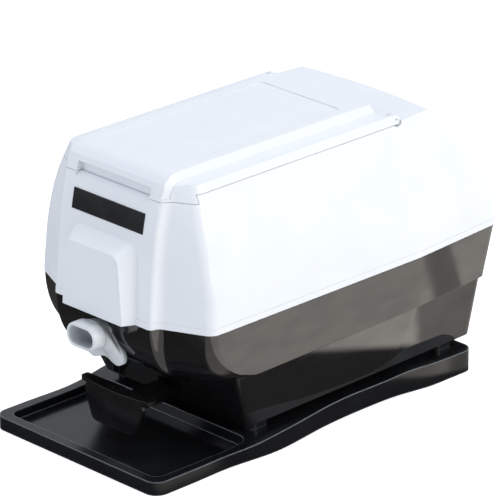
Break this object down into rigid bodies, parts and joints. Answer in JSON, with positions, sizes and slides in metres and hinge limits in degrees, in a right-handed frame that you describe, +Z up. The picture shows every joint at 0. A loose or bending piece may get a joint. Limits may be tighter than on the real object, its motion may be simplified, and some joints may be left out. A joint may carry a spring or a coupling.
{
  "type": "hot lather machine",
  "caption": "Counter-top hot lather machine: white cover with hinged fill lid over a black housing and pedestal on a long drip tray, with front spout and push lever",
  "frame": {"origin": "centre of the footprint on the table, under the middle of the bounding box", "axes": "+Z up, front with the spout faces -Y, right side is +X"},
  "size_m": [0.1564, 0.3143, 0.193],
  "materials": {
    "housing_black": "high gloss black ABS",
    "tray_black": "semi-gloss black ABS",
    "pan_black": "semi-gloss black ABS",
    "cover_white": "satin white ABS",
    "spout_white": "satin white acetal",
    "lever_black": "satin black nylon",
    "label_black": "satin black plate",
    "steel": "zinc plated or stainless steel",
    "lamination": "stacked steel laminations",
    "copper_coil": "enamelled copper winding in tape",
    "bronze": "sintered bronze",
    "aluminium": "machined cast aluminium",
    "rubber": "black rubber",
    "inner_plastic": "natural moulded plastic",
    "inner_black": "black moulded plastic",
    "tube": "milky silicone or nylon tube"
  },
  "bodies": {
    "chassis": {"drip_tray": "tray_black", "standoff_feet": "pan_black", "tray_screws": "steel", "pedestal": "pan_black", "lower_housing": "housing_black", "top_cover": "cover_white", "cover_screws": "steel", "label_plate": "label_black", "spout": "spout_white", "lever_pin": "steel", "lever_spring": "steel", "microswitch": "inner_black", "motor_stack": "lamination", "motor_coil": "copper_coil", "motor_brackets": "steel", "motor_spacers": "steel", "motor_screws": "steel", "shaft_bushes": "bronze", "mixing_chamber": "aluminium", "chamber_cover": "aluminium", "chamber_gasket": "rubber", "chamber_screws": "steel", "shaft_seal": "rubber", "heater": "steel", "thermostat": "inner_black", "soap_tank": "inner_plastic", "feed_tube": "tube", "valve_body": "bronze", "air_tube": "tube", "terminal_block": "inner_plastic", "rocker_switch": "inner_black", "cord_gland": "rubber"},
    "lid": {"fill_lid": "cover_white", "lid_hinge_pins": "steel"},
    "lever": {"push_lever": "lever_black"},
    "plunger": {"switch_plunger": "inner_plastic"},
    "drive": {"motor_shaft": "steel", "motor_rotor": "lamination", "cooling_fan": "inner_black", "shaft_coupling": "aluminium", "impeller_shaft": "steel", "impeller": "inner_plastic"},
    "cap": {"reservoir_cap": "inner_black", "cap_seal": "rubber"},
    "valve": {"valve_knob": "inner_black"},
    "switch_rocker": {"rocker": "inner_black"}
  },
  "joints": [
    {"name": "lid_hinge", "type": "hinge", "parent": "chassis", "child": "lid", "pos_m": [0, 0.0696, 0.1841], "axis": [-1, 0, 0], "range_deg": [0, 100]},
    {"name": "lever_press", "type": "hinge", "parent": "chassis", "child": "lever", "pos_m": [0, -0.062, 0.03], "axis": [1, 0, 0], "range_deg": [0, 6], "stiffness_Nm_per_rad": 0.06, "springref_deg": -20.05},
    {"name": "plunger_slide", "type": "slide", "parent": "chassis", "child": "plunger", "axis": [0, 0, 1], "range_m": [0, 0.0014]},
    {"name": "drive_spin", "type": "hinge", "parent": "chassis", "child": "drive", "pos_m": [0, 0, 0.088], "axis": [0, 1, 0], "continuous": true},
    {"name": "cap_lift", "type": "slide", "parent": "chassis", "child": "cap", "axis": [0, 0, 1], "range_m": [0, 0.0095]},
    {"name": "valve_turn", "type": "hinge", "parent": "chassis", "child": "valve", "pos_m": [0, -0.088, 0.17], "axis": [0, 0, 1], "range_deg": [0, 270]},
    {"name": "rocker_tip", "type": "hinge", "parent": "chassis", "child": "switch_rocker", "pos_m": [-0.042, 0.14956, 0.084], "axis": [-1, 0, 0], "range_deg": [0, 16]}
  ],
  "couplings": [
    {"joint": "plunger_slide", "follows": "lever_press", "m_per_rad": 0.012}
  ]
}
